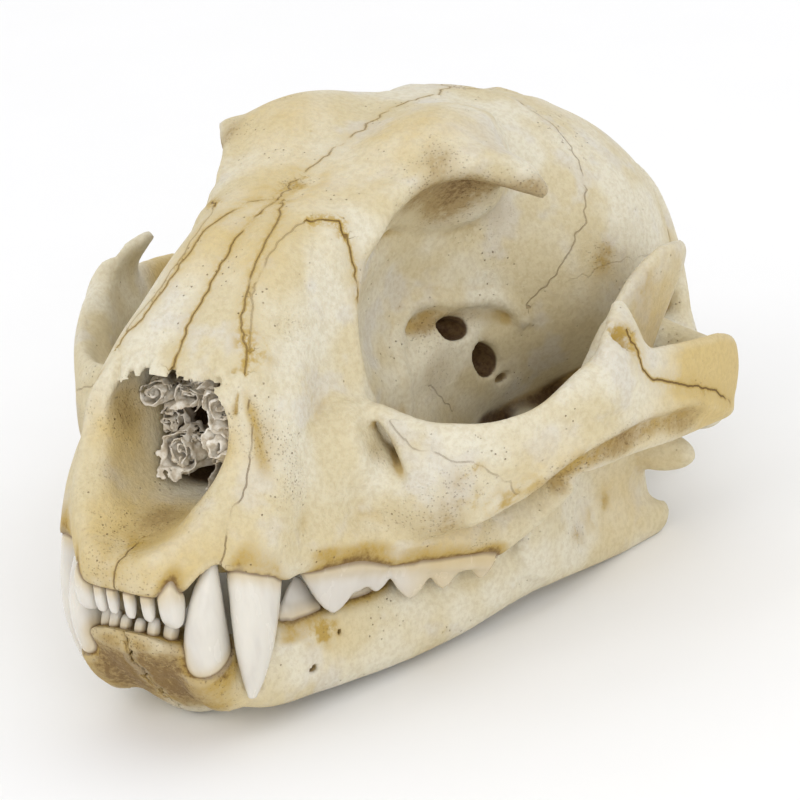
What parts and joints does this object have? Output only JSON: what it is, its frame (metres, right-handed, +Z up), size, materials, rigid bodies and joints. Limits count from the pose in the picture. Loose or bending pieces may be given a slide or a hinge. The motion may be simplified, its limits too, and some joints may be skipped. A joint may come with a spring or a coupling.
{
  "type": "caracal skull",
  "caption": "Life-size caracal skull with closed lower jaws, full dentition, open orbits and flaring cheek arches, for display or teaching.",
  "frame": {"origin": "on the floor under the middle of the skull's length, on its middle plane", "axes": "+X to the animal's left, +Y from the nose to the back of the head, +Z up"},
  "size_m": [0.0946, 0.1294, 0.07],
  "materials": {
    "bone": "dry matte ivory bone with ochre staining",
    "tooth": "smooth glossy enamel"
  },
  "bodies": {
    "root": {"braincase": "bone", "face": "bone", "zygomatic_arch_left": "bone", "zygomatic_arch_right": "bone", "mandible_left": "bone", "mandible_right": "bone"}
  },
  "joints": []
}
